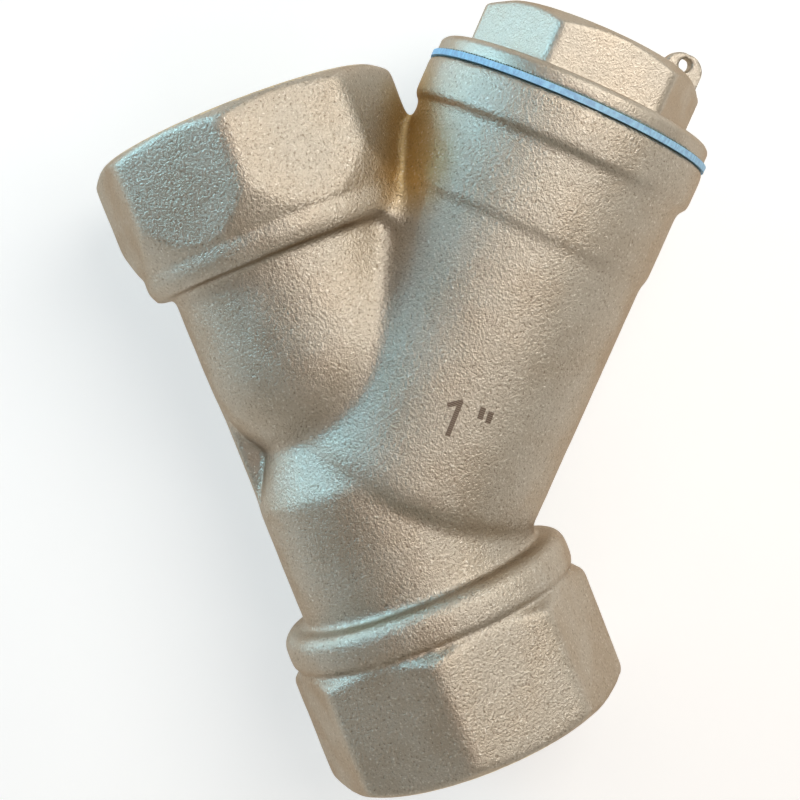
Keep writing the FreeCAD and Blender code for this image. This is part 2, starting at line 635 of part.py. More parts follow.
def make_screen_collar(body, base, rim):
    """Turn a channel that grips one end of the screen's two sheets between its walls."""
    thickness = "Sizes.collar_wall"
    inner = f"{MESH_INNER} - Sizes.screen_play - {thickness}"
    way = "+" if size(rim) > size(base) else "-"
    floor = f"{base} {way} {thickness}"
    sketch = draw_outline(new_sketch(body, "XZ_Plane", body.Name + "_outline"), [
        (inner, base),
        ("Sizes.collar_outer", base),
        ("Sizes.collar_outer", rim),
        (f"Sizes.collar_outer - {thickness}", rim),
        (f"Sizes.collar_outer - {thickness}", floor),
        (f"{inner} + {thickness}", floor),
        (f"{inner} + {thickness}", rim),
        (inner, rim),
    ])
    revolve(body, sketch, "Revolution", body.Name + "_turning", "V_Axis")


def make_lower_collar(body):
    make_screen_collar(body, "Sizes.seat_height", "Sizes.seat_height + Sizes.collar_height")


def make_upper_collar(body):
    make_screen_collar(body, SCREEN_TOP, f"{SCREEN_TOP} - Sizes.collar_height")


def make_mesh_sleeve(body):
    make_ring(body, MESH_INNER, MESH_OUTER, SHEET_BOTTOM, SHEET_TOP)


def make_screen_tube(body):
    """Turn the support tube and punch its two staggered sets of square holes."""
    make_ring(body, TUBE_INNER, TUBE_OUTER, SHEET_BOTTOM, SHEET_TOP)
    rows = "(2 * Sizes.hole_rows - 1)"
    first = f"({SHEET_BOTTOM} + {SHEET_TOP} - {rows} * Sizes.hole_pitch) / 2"
    for number, name in enumerate(("holes_a", "holes_b")):
        height = f"{first} + {number} * Sizes.hole_pitch"
        sketch = new_sketch(body, "XZ_Plane", name + "_outline")
        sketch.AttachmentOffset = FreeCAD.Placement(
            FreeCAD.Vector(0, 0, 0), FreeCAD.Rotation(FreeCAD.Vector(0, 1, 0), 1))
        sketch.setExpression("AttachmentOffset.Rotation.Angle",
                             f"{number} * 180 deg / Sizes.hole_count")
        low, high = f"{height} - Sizes.hole_side / 2", f"{height} + Sizes.hole_side / 2"
        draw_outline(sketch, [("-Sizes.hole_side / 2", low), ("Sizes.hole_side / 2", low),
                              ("Sizes.hole_side / 2", high), ("-Sizes.hole_side / 2", high)])
        hole = body.newObject("PartDesign::Pocket", name)
        hole.Profile = sketch
        hole.setExpression("Length", "Sizes.collar_outer")
        doc.recompute()
        repeat_hole(body, hole, name)


def repeat_hole(body, hole, name):
    """Repeat one punched hole round the tube and up it."""
    full = body.newObject("PartDesign::MultiTransform", name + "_pattern")
    ring = body.newObject("PartDesign::PolarPattern", name + "_ring")
    ring.Axis = (hole.Profile[0], ["V_Axis"])
    ring.Angle = 360.0
    ring.setExpression("Occurrences", "Sizes.hole_count")
    column = body.newObject("PartDesign::LinearPattern", name + "_column")
    column.Direction = (hole.Profile[0], ["V_Axis"])
    column.setExpression("Length", "(Sizes.hole_rows - 1) * 2 * Sizes.hole_pitch")
    column.setExpression("Occurrences", "Sizes.hole_rows")
    full.Originals = [hole]
    full.Transformations = [ring, column]
    body.Tip = full
    doc.recompute()


def build_all():
    """Make every piece of the strainer; all but the forging stand along the branch."""
    made = [make_strainer_body()]
    for label, maker in (
        ("cap", make_cap),
        ("cap_gasket", make_cap_gasket),
        ("screen_tube", make_screen_tube),
        ("mesh_sleeve", make_mesh_sleeve),
        ("upper_collar", make_upper_collar),
        ("lower_collar", make_lower_collar),
    ):
        body = new_body(label)
        place_on_branch(body)
        maker(body)
        made.append(body)
    return made


fill_sheet()
pieces = build_all()
doc.recompute()
for item in doc.Objects:
    if "Invalid" in item.State or "Error" in item.State:
        raise RuntimeError(f"{item.Name} did not rebuild: {item.State}")
for piece in pieces:
    if piece.Shape.isNull() or not piece.Shape.isValid():
        raise RuntimeError(f"{piece.Label} is not a valid solid")
os.makedirs("parts", exist_ok=True)
for piece in pieces:
    piece.Shape.exportStep(f"parts/{piece.Label}.step")
    print(piece.Label, len(piece.Shape.Solids), round(piece.Shape.Volume, 1), piece.Shape.BoundBox)
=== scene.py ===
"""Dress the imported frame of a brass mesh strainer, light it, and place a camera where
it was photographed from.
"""
import math

import bmesh
import bpy
from bpy.props import FloatProperty, FloatVectorProperty, IntProperty, PointerProperty
from mathutils import Matrix, Vector, noise
from mathutils.geometry import intersect_point_line


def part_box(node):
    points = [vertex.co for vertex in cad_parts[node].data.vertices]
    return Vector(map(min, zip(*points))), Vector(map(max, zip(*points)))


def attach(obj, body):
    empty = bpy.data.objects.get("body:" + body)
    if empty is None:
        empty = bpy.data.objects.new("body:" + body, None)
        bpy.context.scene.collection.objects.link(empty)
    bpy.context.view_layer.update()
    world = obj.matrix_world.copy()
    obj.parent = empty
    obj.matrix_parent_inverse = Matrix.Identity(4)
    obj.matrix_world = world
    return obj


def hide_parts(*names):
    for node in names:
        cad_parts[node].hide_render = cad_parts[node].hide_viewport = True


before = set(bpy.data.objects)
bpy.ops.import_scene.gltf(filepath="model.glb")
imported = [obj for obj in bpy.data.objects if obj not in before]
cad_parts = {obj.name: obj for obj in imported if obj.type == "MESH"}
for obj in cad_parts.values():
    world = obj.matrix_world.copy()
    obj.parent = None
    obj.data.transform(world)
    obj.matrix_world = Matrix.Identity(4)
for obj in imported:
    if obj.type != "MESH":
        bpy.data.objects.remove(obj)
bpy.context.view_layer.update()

bl_info = {
    "name": "Mesh Strainer",
    "version": (1, 0, 0),
    "blender": (4, 5, 0),
    "location": "3D View > Sidebar > Strainer",
    "description": "Builds the finishes, threads and screen of a brass mesh strainer",
    "category": "Object",
}

MM = 0.001
TURN = 2 * math.pi

# The branch leaves the pipe at the crossing and leans towards the outlet.
CROSSING = Vector((33.2, 0, 0)) * MM
ALONG = Vector((1, -1, 0)).normalized()
ASIDE = Vector((-1, -1, 0)).normalized()
ALONG_PIPE = Vector((1, 0, 0))
UP = Vector((0, 0, 1))

# The pipe, from the inlet's face, with the ports that are bored into both its ends.
PIPE_LENGTH = 90 * MM
PORT_RADIUS = 16.62 * MM
PORT_CHAMFER = 1.37 * MM
INLET_THREAD = 16 * MM
OUTLET_THREAD = 15 * MM

# The branch and what goes into it: radii from its axis, and heights from the crossing.
BRANCH_RADIUS = 18.3 * MM
BRANCH_MOUTH = 58 * MM
CAP_BORE = 16.5 * MM
CAP_THREAD = 10 * MM
SHANK_RADIUS = 15.6 * MM
SHANK_END = 49.8 * MM
CAP_UNDER = 58.8 * MM
CAP_UNDER_MARGIN = 0.2 * MM
SHEET_BOTTOM = 7.45 * MM
SHEET_TOP = 55.05 * MM
MESH_MIDDLE = 12.55 * MM
WIRE_CORNERS = ((-1, -1), (1, -1), (1, 1), (-1, 1))

# Faces of the body within these limits of its ends, bores and chamfers count as cut.
END_MARGIN = 0.3 * MM
PORT_MARGIN = 0.15 * MM
CAP_BORE_MARGIN = 0.2 * MM
CAP_BORE_CHAMFER = 1.5 * MM
CHAMFER_REACH = 2 * MM
MOUTH_FACE = 19.3 * MM
CHAMBER_BEGINS = 5 * MM
FACING_AN_END = 0.8

# Cut faces past these limits belong to the branch, and the others to the pipe.
BRANCH_BEGINS = 3 * MM
BRANCH_REACH = 21 * MM
BRANCH_SIDE = -4 * MM

# The waist's softening rises and falls over these stretches of the pipe, and loses a
# share where the branch's skin is near.
WAIST_RISES = (36 * MM, 40 * MM)
WAIST_FALLS = (58 * MM, 62 * MM)
BRANCH_SKIN = (17.0 * MM, 20.5 * MM)
BRANCH_HOLD = 0.6

# The crotch between the outlet and the branch runs from its corner up to the crossing.
CROTCH_FOOT = Vector((82, -21, 0)) * MM
CROTCH_TOP = Vector((62, -11, 15)) * MM
CROTCH_REACH = (4 * MM, 9 * MM)

# Beside that crotch a golden patch is painted into the plating's colour: a painted
# reflection of the outlet's brass side.
REFLECTION_FOOT = Vector((81, -24, 3)) * MM
REFLECTION_TOP = Vector((74, -20.5, 10)) * MM
REFLECTION_REACH = (2 * MM, 8.5 * MM)
REFLECTION_SHARE = 0.8
PAINTED_REFLECTION = (0.58, 0.40, 0.15)

# What shot and plating leave on the skin: pits, specks and a warm gloss. The pits are
# darkened as painted shade and the specks lightened as painted glints.
PIT_SHADE = (0.20, 0.15, 0.10)
GLINT = (0.94, 0.91, 0.83)
GLOSS_TINT = (0.50, 0.38, 0.28, 1.0)
CLOUD_SHARE = 0.35
ROUGHNESS_SWING = 0.05

# A thread ridge's half widths at its sunk foot, root and crest, in shares of its pitch,
# how deep the foot is sunk into its wall, and the slope with which the ridge fades out.
THREAD_FOOT, THREAD_ROOT, THREAD_CREST = 0.44, 0.40, 0.09
THREAD_SINK = 0.12 * MM
THREAD_FADE = 0.9

# Where the ridges stop short of the outer and the inner end of their threads.
PORT_RUN_OUT = (1.2 * MM, 1.6 * MM)
BORE_RUN_OUT = (0.8 * MM, 1.0 * MM)
SHANK_RUN_OUT = (0.8 * MM, 2.5 * MM)
CAP_THREAD_STEPS = 44

# How the worked copies are softened, and the most faces that they keep.
SOFTENING = 0.5
WHOLE_ROUNDS = 5
FORGED_ROUNDS = 4
WAIST_ROUNDS = 22
CAP_ROUNDS = 5
BODY_FACES = 92000
CAP_FACES = 60000

# The slow waves in the forged skin: how many to a metre, and their share of the height.
WAVES = ((160, 1.0), (420, 0.5))

# The size mark on the unrolled branch, in mm: each stroke's ends, across and along the
# branch, and its width. Then how far the strokes stand off the skin, how thick they are,
# and how far apart their burnt lines lie.
MARK_STROKES = (((1.98, 14.2), (1.80, 18.7), 0.62), ((0.42, 17.75), (2.05, 18.95), 0.6),
                ((4.9, 17.75), (4.75, 19.25), 0.72), ((6.1, 17.6), (5.95, 19.1), 0.72))
MARK_LIFT = 0.03 * MM
MARK_THICKNESS = 0.05 * MM
MARK_LINE = 0.26 * MM

# The soft lamps round the middle: name, place, width, power and colour.
LAMP_MIDDLE = Vector((0.045, -0.018, 0.0))
LAMPS = (("window", (0.31, 0.28, 0.07), 0.18, 0.66, (0.38, 0.78, 1.0)),
         ("ceiling", (0.062, -0.142, 0.24), 0.20, 0.36, (1.0, 0.97, 0.92)),
         ("fill", (-0.24, 0.10, 0.40), 0.34, 0.15, (1.0, 0.95, 0.88)))

# The floor lies just under the body, and glows a little where it is seen.
FLOOR_CENTRE = (0.045, -0.02)
FLOOR_GAP = 0.05 * MM
FLOOR_GLOW = (0.93, 0.97, 1, 1)
FLOOR_GLOW_STRENGTH = 0.42

# The camera stands where the photograph was taken from, above the part.
CAMERA_PLACE = Vector((61.875, -20.048, 211.684)) * MM
CAMERA_ASIDE = Vector((-0.36602109, -0.92998936, -0.03388725))
CAMERA_UPWARD = Vector((0.92793866, -0.36197437, -0.08890670))
CAMERA_BACKWARD = Vector((0.07041597, -0.06398701, 0.99546332))
CAMERA_LENS = 70.36
CAMERA_SENSOR = 36
CAMERA_NEAR = 0.01

# The room's light, over its dim underside: the direction of each part, where in it that
# part begins and is full, and its colour. The ceiling is over the branch and the cool
# window low past the outlet.
WINDOW = Vector((0.74, 0.67, 0.05)).normalized()
CEILING = Vector((0.25, -0.68, 0.69)).normalized()
ROOM_DIM = (0.26, 0.28, 0.26)
ROOM_PARTS = ((CEILING, (-0.7, 0.2), (0.30, 0.26, 0.21)),
              (CEILING, (0.3, 0.95), (0.64, 0.60, 0.53)),
              (WINDOW, (0.7, 1.0), (0.38, 0.62, 0.84)),
              (UP, (0.84, 0.97), (0.21, 0.10, 0.09)))


def upright_on(origin, along, aside):
    """The placement that lays local Z along one direction and local X along another."""
    turned = Matrix((aside, along.cross(aside), along)).transposed()
    return Matrix.Translation(origin) @ turned.to_4x4()


ON_BRANCH = upright_on(CROSSING, ALONG, ASIDE)
ON_PIPE = upright_on(Vector((0, 0, 0)), ALONG_PIPE, Vector((0, 1, 0)))


class StrainerSizes(bpy.types.PropertyGroup):
    """Sizes of the fine forms that the frame leaves plain."""

    port_pitch: FloatProperty(
        name="Port pitch", description="Rise of the pipe thread in one turn",
        default=2.309 * MM, unit="LENGTH")
    port_crest: FloatProperty(
        name="Port crest", description="Radius to the crest of the pipe thread",
        default=15.2 * MM, unit="LENGTH")
    cap_pitch: FloatProperty(
        name="Cap pitch", description="Rise of the cap's thread in one turn",
        default=1.5 * MM, unit="LENGTH")
    bore_crest: FloatProperty(
        name="Bore crest",
        description="Radius to the crest of the thread in the branch",
        default=15.75 * MM, unit="LENGTH")
    shank_crest: FloatProperty(
        name="Shank crest", description="Radius to the crest of the thread on the cap",
        default=16.3 * MM, unit="LENGTH")
    body_voxel: FloatProperty(
        name="Body grain", description="Fineness of the forged body's surface",
        default=0.42 * MM, unit="LENGTH")
    cap_voxel: FloatProperty(
        name="Cap grain", description="Fineness of the cap's surface",
        default=0.25 * MM, unit="LENGTH")
    wave_height: FloatProperty(
        name="Waves", description="Height of the slow waves that the dies leave",
        default=0.05 * MM, unit="LENGTH")
    wires_round: IntProperty(
        name="Wires round",
        description="Upright wires of the woven mesh, an even number",
        default=84)
    wires_high: IntProperty(
        name="Wires high", description="Round wires of the woven mesh",
        default=50)
    wire_width: FloatProperty(
        name="Wire", description="Thickness of one wire of the mesh",
        default=0.16 * MM, unit="LENGTH")


class StrainerColours(bpy.types.PropertyGroup):
    """Colours of the finishes."""

    plating: FloatVectorProperty(
        name="Plating", description="Satin plated brass on the forged skin",
        default=(0.58, 0.53, 0.45), subtype="COLOR")
    plating_deep: FloatVectorProperty(
        name="Thin plating", description="Where the brass shows through the plating",
        default=(0.46, 0.37, 0.27), subtype="COLOR")
    cut_brass: FloatVectorProperty(
        name="Cut brass", description="Bores and threads cut after forging",
        default=(0.70, 0.56, 0.34), subtype="COLOR")
    gasket: FloatVectorProperty(
        name="Gasket", description="Pressed fibre ring under the cap",
        default=(0.27, 0.49, 0.76), subtype="COLOR")
    steel: FloatVectorProperty(
        name="Steel", description="Stainless steel of the screen",
        default=(0.55, 0.55, 0.54), subtype="COLOR")
    mark: FloatVectorProperty(
        name="Mark", description="Marking burnt into the branch",
        default=(0.15, 0.12, 0.095), subtype="COLOR")
    floor: FloatVectorProperty(
        name="Floor", description="Pale floor",
        default=(0.86, 0.86, 0.86), subtype="COLOR")


# Shader helpers

def add_node(tree, kind, settings=None, **inputs):
    """Add a node, set it up, and fill or link its inputs by name or number (i0)."""
    node = tree.nodes.new("ShaderNode" + kind)
    for key, value in (settings or {}).items():
        setattr(node, key, value)
    for key, value in inputs.items():
        name = key.replace("_", " ")
        numbered = name[0] == "i" and name[1:].isdigit()
        socket = node.inputs[int(name[1:]) if numbered else name]
        if isinstance(value, bpy.types.NodeSocket):
            tree.links.new(value, socket)
        else:
            socket.default_value = value
    return node


def maths(tree, operation, *values):
    """Add one Math node and return its result."""
    node = tree.nodes.new("ShaderNodeMath")
    node.operation = operation
    for socket, value in zip(node.inputs, values):
        if isinstance(value, bpy.types.NodeSocket):
            tree.links.new(value, socket)
        else:
            socket.default_value = value
    return node.outputs[0]


def ranged(tree, value, low, high, to_low=0.0, to_high=1.0):
    """Map a value from one range to another, held at its ends."""
    node = tree.nodes.new("ShaderNodeMapRange")
    node.interpolation_type = "SMOOTHSTEP"
    tree.links.new(value, node.inputs["Value"])
    node.inputs["From Min"].default_value = low
    node.inputs["From Max"].default_value = high
    node.inputs["To Min"].default_value = to_low
    node.inputs["To Max"].default_value = to_high
    return node.outputs["Result"]


def blended(tree, share, first, second):
    """Mix two colours by a share from 0 to 1."""
    node = tree.nodes.new("ShaderNodeMix")
    node.data_type = "RGBA"
    for index, value in ((0, share), (6, first), (7, second)):
        if isinstance(value, bpy.types.NodeSocket):
            tree.links.new(value, node.inputs[index])
        elif index:
            node.inputs[index].default_value = (*value[:3], 1)
        else:
            node.inputs[index].default_value = value
    return node.outputs[2]


def new_group(name, inputs, outputs):
    """Start a shader group and return its tree and the sockets at its two ends."""
    tree = bpy.data.node_groups.new(name, "ShaderNodeTree")
    for title, kind, value in inputs:
        socket = tree.interface.new_socket(title, in_out="INPUT", socket_type=kind)
        if value is not None:
            socket.default_value = value
    for title, kind in outputs:
        tree.interface.new_socket(title, in_out="OUTPUT", socket_type=kind)
    given = tree.nodes.new("NodeGroupInput").outputs
    return tree, given, tree.nodes.new("NodeGroupOutput").inputs


def distance_from_line(tree, place, begin, end):
    """How far a place on the object is from a straight line between two points."""
    way = end - begin
    offset = add_node(tree, "VectorMath", {"operation": "SUBTRACT"}, i0=place, i1=begin)
    share = add_node(tree, "VectorMath", {"operation": "DOT_PRODUCT"},
                     i0=offset.outputs["Vector"], i1=way / way.length_squared)
    held = maths(tree, "MAXIMUM", share.outputs["Value"], 0.0)
    held = maths(tree, "MINIMUM", held, 1.0)
    nearest = add_node(tree, "VectorMath", {"operation": "SCALE"}, i0=way, Scale=held)
    apart = add_node(tree, "VectorMath", {"operation": "DISTANCE"},
                     i0=offset.outputs["Vector"], i1=nearest.outputs["Vector"])
    return apart.outputs["Value"]


def along_line(tree, place, direction):
    """How far a place on the object lies along a direction."""
    node = add_node(tree, "VectorMath", {"operation": "DOT_PRODUCT"},
                    i0=place, i1=direction)
    return node.outputs["Value"]


def blasted_grain():
    """The fine pits, bright specks and slow clouds of a blasted or rolled surface, with
    masks for painted shade in the pits and painted glints on the specks.
    """
    tree, given, out = new_group(
        "blasted_grain",
        [("Place", "NodeSocketVector", None), ("Grains", "NodeSocketFloat", 2600.0)],
        [("Height", "NodeSocketFloat"), ("Specks", "NodeSocketFloat"),
         ("Pits", "NodeSocketFloat"), ("Cloud", "NodeSocketFloat")])
    fine = add_node(tree, "TexNoise", Vector=given["Place"], Scale=given["Grains"],
                    Detail=3.0, Roughness=0.65)
    coarse_scale = maths(tree, "MULTIPLY", given["Grains"], 0.3)
    coarse = add_node(tree, "TexNoise", Vector=given["Place"], Scale=coarse_scale,
                      Detail=2.0, Roughness=0.5)
    cloud_scale = maths(tree, "MULTIPLY", given["Grains"], 0.045)
    cloud = add_node(tree, "TexNoise", Vector=given["Place"], Scale=cloud_scale,
                     Detail=2.0, Roughness=0.5)
    height = maths(tree, "ADD", maths(tree, "MULTIPLY", fine.outputs["Fac"], 0.9),
                   maths(tree, "MULTIPLY", coarse.outputs["Fac"], 0.35))
    tree.links.new(height, out["Height"])
    tree.links.new(ranged(tree, fine.outputs["Fac"], 0.57, 0.70), out["Specks"])
    tree.links.new(ranged(tree, fine.outputs["Fac"], 0.44, 0.31), out["Pits"])
    tree.links.new(ranged(tree, cloud.outputs["Fac"], 0.35, 0.68), out["Cloud"])


def tool_marks():
    """Fine rings left by the cutting tool, from the place along the axis."""
    tree, given, out = new_group(
        "tool_marks",
        [("Way", "NodeSocketFloat", None), ("Rings", "NodeSocketFloat", 3500.0)],
        [("Height", "NodeSocketFloat"), ("Shade", "NodeSocketFloat")])
    place = maths(tree, "MULTIPLY", given["Way"], given["Rings"])
    rings = add_node(tree, "TexNoise", {"noise_dimensions": "1D"}, W=place,
                     Scale=1.0, Detail=3.0, Roughness=0.6)
    tree.links.new(rings.outputs["Fac"], out["Height"])
    tree.links.new(ranged(tree, rings.outputs["Fac"], 0.3, 0.7), out["Shade"])


def fibres():
    """Short crossed fibres of a pressed ring."""
    tree, given, out = new_group(
        "fibres",
        [("Place", "NodeSocketVector", None), ("Fineness", "NodeSocketFloat", 900.0)],
        [("Height", "NodeSocketFloat"), ("Cloud", "NodeSocketFloat")])
    stretched = add_node(tree, "Mapping", Vector=given["Place"], Scale=(1.0, 1.0, 4.0))
    threads = add_node(tree, "TexNoise", Vector=stretched.outputs["Vector"],
                       Scale=given["Fineness"], Detail=4.0, Roughness=0.7)
    tree.links.new(threads.outputs["Fac"], out["Height"])
    tree.links.new(ranged(tree, threads.outputs["Fac"], 0.35, 0.65), out["Cloud"])


def thin_plating():
    """How strongly the painted reflection of the outlet's golden brass shows beside the
    crotch.
    """
    tree, given, out = new_group(
        "thin_plating",
        [("Place", "NodeSocketVector", None)],
        [("Share", "NodeSocketFloat")])
    apart = distance_from_line(tree, given["Place"], REFLECTION_FOOT, REFLECTION_TOP)
    tree.links.new(ranged(tree, apart, *REFLECTION_REACH, REFLECTION_SHARE, 0.0), out["Share"])


def placed_group(tree, group, **inputs):
    """Put a shader group into a material and fill its inputs."""
    node = tree.nodes.new("ShaderNodeGroup")
    node.node_tree = bpy.data.node_groups[group]
    for name, value in inputs.items():
        if isinstance(value, bpy.types.NodeSocket):
            tree.links.new(value, node.inputs[name])
        else:
            node.inputs[name].default_value = value
    return node.outputs


def new_material(name):
    """Start a material and return its tree, its shader and the place on the object."""
    material = bpy.data.materials.new(name)
    material.use_nodes = True
    tree = material.node_tree
    shader = tree.nodes["Principled BSDF"]
    place = tree.nodes.new("ShaderNodeTexCoord").outputs["Object"]
    return tree, shader, place


def coat(tree, shader, colour, roughness, metallic=0.0):
    """Link a shader's colour and roughness, and set how metallic it is."""
    tree.links.new(colour, shader.inputs["Base Color"])
    tree.links.new(roughness, shader.inputs["Roughness"])
    shader.inputs["Metallic"].default_value = metallic


def link_bump(tree, shader, height, strength, distance):
    """Roughen a shader by a height."""
    bump = add_node(tree, "Bump", Height=height, Strength=strength, Distance=distance)
    tree.links.new(bump.outputs["Normal"], shader.inputs["Normal"])


def scaled(colour, factor):
    """A colour made darker or lighter, held at full strength."""
    return tuple(min(1.0, part * factor) for part in colour)


def plated_brass(name, colours, grains, roughness, pit_depth, painted_fleck):
    """Satin plating over shot-blasted brass, with painted shade in its pits, painted
    glints on its specks and a painted reflection beside the crotch.
    """
    tree, shader, place = new_material(name)
    grain = placed_group(tree, "blasted_grain", Place=place, Grains=grains)
    cloudy = maths(tree, "MULTIPLY", grain["Cloud"], CLOUD_SHARE)
    base = blended(tree, cloudy, colours.plating, colours.plating_deep)
    # Painted reflection: the outlet's golden brass side, blended into the colour beside
    # the crotch.
    reflection = placed_group(tree, "thin_plating", Place=place)
    with_reflection = blended(tree, reflection["Share"], base, PAINTED_REFLECTION)
    # Painted shade darkens the pits and painted glints lighten the specks.
    pit_shade = maths(tree, "MULTIPLY", grain["Pits"], painted_fleck)
    glints = maths(tree, "MULTIPLY", grain["Specks"], painted_fleck)
    glinted_and_shaded = blended(tree, glints, blended(tree, pit_shade, with_reflection, PIT_SHADE), GLINT)
    rough = ranged(tree, grain["Cloud"], 0.0, 1.0, to_low=roughness + ROUGHNESS_SWING,
                   to_high=roughness - ROUGHNESS_SWING)
    coat(tree, shader, glinted_and_shaded, rough, metallic=1.0)
    shader.inputs["Specular Tint"].default_value = GLOSS_TINT
    link_bump(tree, shader, grain["Height"], strength=1.0, distance=pit_depth)


def cut_brass(name, colours, direction, rings):
    """Bright brass with the fine rings of the cutting tool."""
    tree, shader, place = new_material(name)
    way = along_line(tree, place, direction)
    marks = placed_group(tree, "tool_marks", Way=way, Rings=rings)
    dull = scaled(colours.cut_brass, 0.72)
    rough = ranged(tree, marks["Shade"], 0.0, 1.0, to_low=0.34, to_high=0.22)
    coat(tree, shader, blended(tree, marks["Shade"], dull, colours.cut_brass), rough,
         metallic=1.0)
    link_bump(tree, shader, marks["Height"], strength=0.4, distance=0.02 * MM)


def fibre_gasket(colours):
    """Blue pressed fibre with a dry, slightly waxed face."""
    tree, shader, place = new_material("blue_fibre")
    fibre = placed_group(tree, "fibres", Place=place, Fineness=900.0)
    pale = scaled(colours.gasket, 1.5)
    coat(tree, shader, blended(tree, fibre["Cloud"], colours.gasket, pale),
         ranged(tree, fibre["Cloud"], 0.0, 1.0, to_low=0.5, to_high=0.68))
    link_bump(tree, shader, fibre["Height"], strength=0.5, distance=0.03 * MM)


def rolled_steel(name, colours, grains, roughness):
    """Stainless sheet or wire with a fine rolled grain."""
    tree, shader, place = new_material(name)
    grain = placed_group(tree, "blasted_grain", Place=place, Grains=grains)
    worn = scaled(colours.steel, 0.7)
    rough = ranged(tree, grain["Cloud"], 0.0, 1.0,
                   to_low=roughness + 0.06, to_high=roughness)
    coat(tree, shader, blended(tree, grain["Cloud"], worn, colours.steel), rough,
         metallic=1.0)
    link_bump(tree, shader, grain["Height"], strength=0.25, distance=0.01 * MM)


def burnt_mark(colours):
    """Laser-burnt lines, laid side by side up the branch."""
    tree, shader, place = new_material("burnt_mark")
    way = along_line(tree, place, ALONG)
    lines = maths(tree, "SINE", maths(tree, "MULTIPLY", way, TURN / MARK_LINE))
    share = ranged(tree, lines, -0.6, 0.8, to_high=0.55)
    pale = scaled(colours.mark, 3.0)
    coat(tree, shader, blended(tree, share, colours.mark, pale),
         ranged(tree, lines, -1.0, 1.0, to_low=0.62, to_high=0.5), metallic=0.7)
    link_bump(tree, shader, lines, strength=0.3, distance=0.01 * MM)


def pale_floor(colours):
    """White floor that keeps the object's shadow, a little lifted where it is seen."""
    tree, shader, place = new_material("pale_floor")
    fine = add_node(tree, "TexNoise", Vector=place, Scale=60.0, Detail=3.0)
    tree.links.new(blended(tree, ranged(tree, fine.outputs["Fac"], 0.3, 0.7),
                           colours.floor, scaled(colours.floor, 0.99)),
                   shader.inputs["Base Color"])
    shader.inputs["Roughness"].default_value = 0.8
    shader.inputs["Specular IOR Level"].default_value = 0.2
    rays = tree.nodes.new("ShaderNodeLightPath").outputs
    reflected = maths(tree, "MAXIMUM", rays["Is Glossy Ray"],
                      rays["Is Transmission Ray"])
    seen = maths(tree, "MAXIMUM", rays["Is Camera Ray"], reflected)
    glow = add_node(tree, "Emission", Color=FLOOR_GLOW,
                    Strength=maths(tree, "MULTIPLY", seen, FLOOR_GLOW_STRENGTH))
    both = add_node(tree, "AddShader", i0=shader.outputs["BSDF"],
                    i1=glow.outputs["Emission"])
    tree.links.new(both.outputs["Shader"],
                   tree.nodes["Material Output"].inputs["Surface"])


# Shape helpers

def new_object(name, bm, materials):
    """Turn a bmesh into an object, smooth apart from its sharp edges."""
    mesh = bpy.data.meshes.new(name)
    bm.to_mesh(mesh)
    bm.free()
    return shown(name, mesh, materials)


def shown(name, mesh, materials, sharp=40):
    """Show a mesh as an object, with its edges sharp where it bends past an angle."""
    mesh.name = name
    obj = bpy.data.objects.new(name, mesh)
    bpy.context.scene.collection.objects.link(obj)
    mesh.materials.clear()
    for material in materials:
        mesh.materials.append(material)
    mesh.polygons.foreach_set("use_smooth", [True] * len(mesh.polygons))
    mesh.set_sharp_from_angle(angle=math.radians(sharp))
    return obj


def settled(obj):
    """The mesh that an object's modifiers make of it."""
    graph = bpy.context.evaluated_depsgraph_get()
    return bpy.data.meshes.new_from_object(obj.evaluated_get(graph))


def with_modifier(obj, kind, **settings):
    """Run one modifier over an object and keep its result as the object's mesh."""
    modifier = obj.modifiers.new(kind, kind)
    for key, value in settings.items():
        setattr(modifier, key, value)
    done = settled(obj)
    obj.modifiers.clear()
    old = obj.data
    obj.data = done
    bpy.data.meshes.remove(old)


def remesh(obj, voxel):
    """Close an object's mesh up in even faces of about one size."""
    with_modifier(obj, "REMESH", mode="VOXEL", voxel_size=voxel, adaptivity=0)


def thin_out(obj, most):
    """Thin an object's mesh to about this many faces."""
    with_modifier(obj, "DECIMATE", ratio=min(1.0, most / len(obj.data.polygons)))


def copy_of_node(node, name):
    """A merged copy of a CAD node as an object of its own."""
    bm = bmesh.new()
    bm.from_mesh(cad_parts[node].data)
    bmesh.ops.remove_doubles(bm, verts=bm.verts, dist=0.001 * MM)
    return new_object(name, bm, [])


def weigh(obj, weight_at, steps=10):
    """Give an object's points a weight group from their place and normal."""
    group = obj.vertex_groups.new(name="softened")
    lists = [[] for _ in range(steps + 1)]
    for vertex in obj.data.vertices:
        share = weight_at(vertex.co, vertex.normal)
        lists[round(min(max(share, 0.0), 1.0) * steps)].append(vertex.index)
    for number, members in enumerate(lists):
        if number and members:
            group.add(members, number / steps, "REPLACE")
    return group.name


def keep_in_box(mesh, node):
    """Hold a mesh's points inside the box of the CAD node that it stands for."""
    low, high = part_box(node)
    places = [0.0] * (3 * len(mesh.vertices))
    mesh.vertices.foreach_get("co", places)
    held = [min(max(value, low[index % 3]), high[index % 3])
            for index, value in enumerate(places)]
    mesh.vertices.foreach_set("co", held)
    mesh.update()


def worked_copy(obj, node, materials):
    """Show a worked copy of a node in its place, held in the node's box."""
    name, mesh = obj.name, obj.data
    keep_in_box(mesh, node)
    bpy.data.objects.remove(obj)
    return shown(name, mesh, materials_for(materials), sharp=50)


def step_between(value, low, high):
    """A smooth step from 0 at low to 1 at high."""
    share = min(max((value - low) / (high - low), 0.0), 1.0)
    return share * share * (3 - 2 * share)


def on_branch(point):
    """A point's height up the branch and its offset from the branch's axis."""
    offset = point - CROSSING
    height = offset.dot(ALONG)
    return height, offset - ALONG * height


